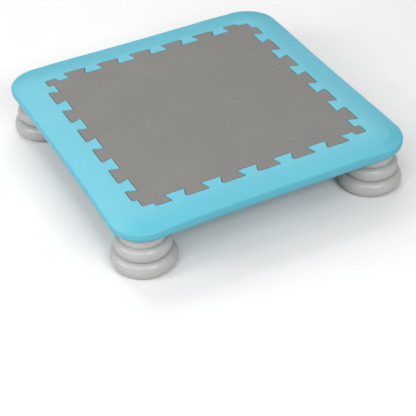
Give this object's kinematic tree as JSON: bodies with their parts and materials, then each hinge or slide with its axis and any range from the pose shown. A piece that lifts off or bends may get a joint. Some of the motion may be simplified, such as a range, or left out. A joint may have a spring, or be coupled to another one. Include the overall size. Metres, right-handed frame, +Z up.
{
  "type": "bounce board",
  "caption": "Square bounce board: a rounded hollow deck with an inlaid jigsaw-edged mat, standing on stepped air bellows feet that squash underfoot.",
  "frame": {"origin": "on the floor, under the middle of the board", "axes": "+Z up; X and Y along the sides of the square deck; the mat's half tabs meet at the (-X, -Y) and (+X, +Y) corners"},
  "size_m": [0.7026, 0.7026, 0.134],
  "materials": {
    "deck_plastic": "satin moulded polypropylene",
    "mat_rubber": "matte fine-grained foam rubber",
    "bellows_rubber": "smooth semi-matte soft vinyl",
    "inner_plastic": "matte moulded nylon",
    "valve_rubber": "matte rubber",
    "screw_steel": "zinc-plated steel"
  },
  "bodies": {
    "deck": {"deck_top_shell": "deck_plastic", "deck_bottom_shell": "deck_plastic", "jump_mat": "mat_rubber", "shell_screw_1": "screw_steel", "shell_screw_2": "screw_steel", "shell_screw_3": "screw_steel", "shell_screw_4": "screw_steel", "shell_screw_5": "screw_steel", "shell_screw_6": "screw_steel", "shell_screw_7": "screw_steel", "shell_screw_8": "screw_steel", "shell_screw_9": "screw_steel", "foot_clamp_plate_front_left": "inner_plastic", "clamp_screw_front_left_1": "screw_steel", "clamp_screw_front_left_2": "screw_steel", "clamp_screw_front_left_3": "screw_steel", "foot_clamp_plate_front_right": "inner_plastic", "clamp_screw_front_right_1": "screw_steel", "clamp_screw_front_right_2": "screw_steel", "clamp_screw_front_right_3": "screw_steel", "foot_clamp_plate_back_right": "inner_plastic", "clamp_screw_back_right_1": "screw_steel", "clamp_screw_back_right_2": "screw_steel", "clamp_screw_back_right_3": "screw_steel", "foot_clamp_plate_back_left": "inner_plastic", "clamp_screw_back_left_1": "screw_steel", "clamp_screw_back_left_2": "screw_steel", "clamp_screw_back_left_3": "screw_steel"},
    "foot_front_left": {"foot_bellows_front_left": "bellows_rubber", "foot_valve_seat_front_left": "valve_rubber", "foot_valve_plug_front_left": "inner_plastic"},
    "foot_front_right": {"foot_bellows_front_right": "bellows_rubber", "foot_valve_seat_front_right": "valve_rubber", "foot_valve_plug_front_right": "inner_plastic"},
    "foot_back_right": {"foot_bellows_back_right": "bellows_rubber", "foot_valve_seat_back_right": "valve_rubber", "foot_valve_plug_back_right": "inner_plastic"},
    "foot_back_left": {"foot_bellows_back_left": "bellows_rubber", "foot_valve_seat_back_left": "valve_rubber", "foot_valve_plug_back_left": "inner_plastic"}
  },
  "joints": [
    {"name": "foot_press_front_left", "type": "slide", "parent": "deck", "child": "foot_front_left", "axis": [0, 0, 1], "range_m": [0, 0.035], "stiffness_N_per_m": 15000, "deforming": ["foot_bellows_front_left"]},
    {"name": "foot_press_front_right", "type": "slide", "parent": "deck", "child": "foot_front_right", "axis": [0, 0, 1], "range_m": [0, 0.035], "stiffness_N_per_m": 15000, "deforming": ["foot_bellows_front_right"]},
    {"name": "foot_press_back_right", "type": "slide", "parent": "deck", "child": "foot_back_right", "axis": [0, 0, 1], "range_m": [0, 0.035], "stiffness_N_per_m": 15000, "deforming": ["foot_bellows_back_right"]},
    {"name": "foot_press_back_left", "type": "slide", "parent": "deck", "child": "foot_back_left", "axis": [0, 0, 1], "range_m": [0, 0.035], "stiffness_N_per_m": 15000, "deforming": ["foot_bellows_back_left"]}
  ]
}
